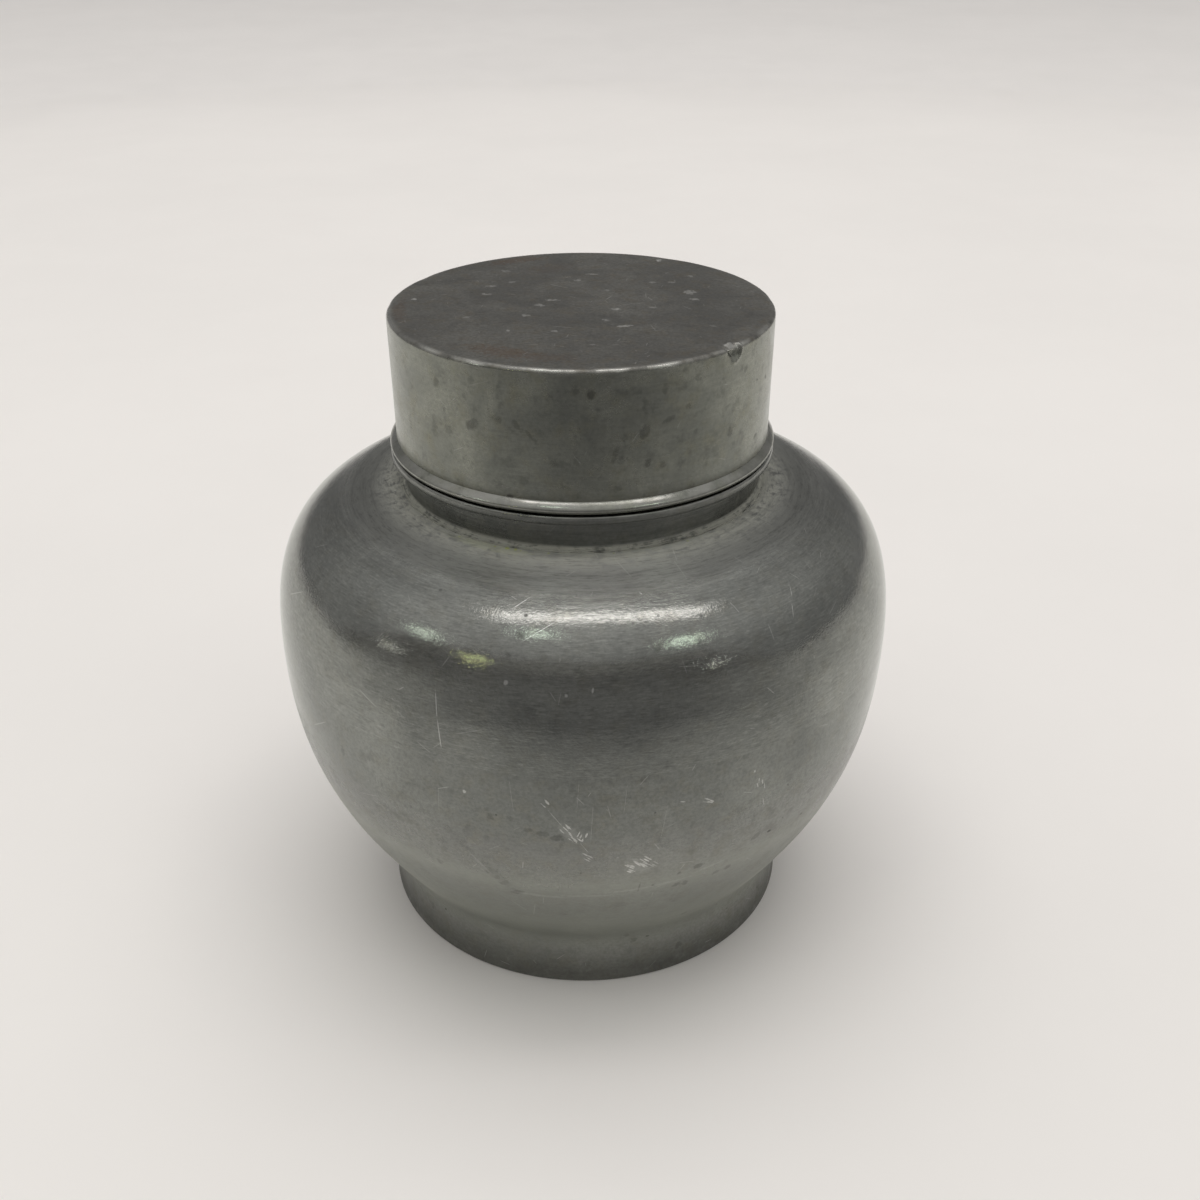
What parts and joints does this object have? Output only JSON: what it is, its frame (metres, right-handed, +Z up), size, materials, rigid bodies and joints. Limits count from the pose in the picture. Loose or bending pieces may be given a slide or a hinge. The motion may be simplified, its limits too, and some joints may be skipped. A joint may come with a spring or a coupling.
{
  "type": "tea caddy",
  "caption": "Squat bellied pewter tea caddy on an upright foot, with a tall lift-off outer lid over the neck and a knobbed inner lid that plugs the mouth.",
  "frame": {"origin": "centre of the foot ring's underside, on the table", "axes": "+Z up along the axis that every piece is turned about; +X and +Y are free"},
  "size_m": [0.1006, 0.1006, 0.105],
  "materials": {
    "body_pewter": "aged satin pewter, finely turned",
    "base_pewter": "dull cast pewter",
    "neck_pewter": "turned satin pewter",
    "lid_pewter": "aged satin pewter with handling marks",
    "bead_pewter": "rubbed satin pewter",
    "inner_lid_pewter": "bright turned pewter",
    "solder": "dull tin solder"
  },
  "bodies": {
    "jar": {"belly_shell": "body_pewter", "shoulder_shell": "body_pewter", "base_plate": "base_pewter", "base_solder": "solder", "neck_collar": "neck_pewter", "neck_solder": "solder"},
    "inner_lid": {"inner_lid_plate": "inner_lid_pewter", "inner_lid_plug": "inner_lid_pewter", "plug_solder": "solder", "inner_lid_knob": "inner_lid_pewter"},
    "lid": {"lid_skirt": "lid_pewter", "lid_top": "lid_pewter", "lid_bead": "bead_pewter", "lid_solder": "solder"}
  },
  "joints": [
    {"name": "inner_lid_lift", "type": "slide", "parent": "jar", "child": "inner_lid", "axis": [0, 0, 1], "range_m": [0, 0.03]},
    {"name": "lid_lift", "type": "slide", "parent": "inner_lid", "child": "lid", "axis": [0, 0, 1], "range_m": [0, 0.045]}
  ]
}
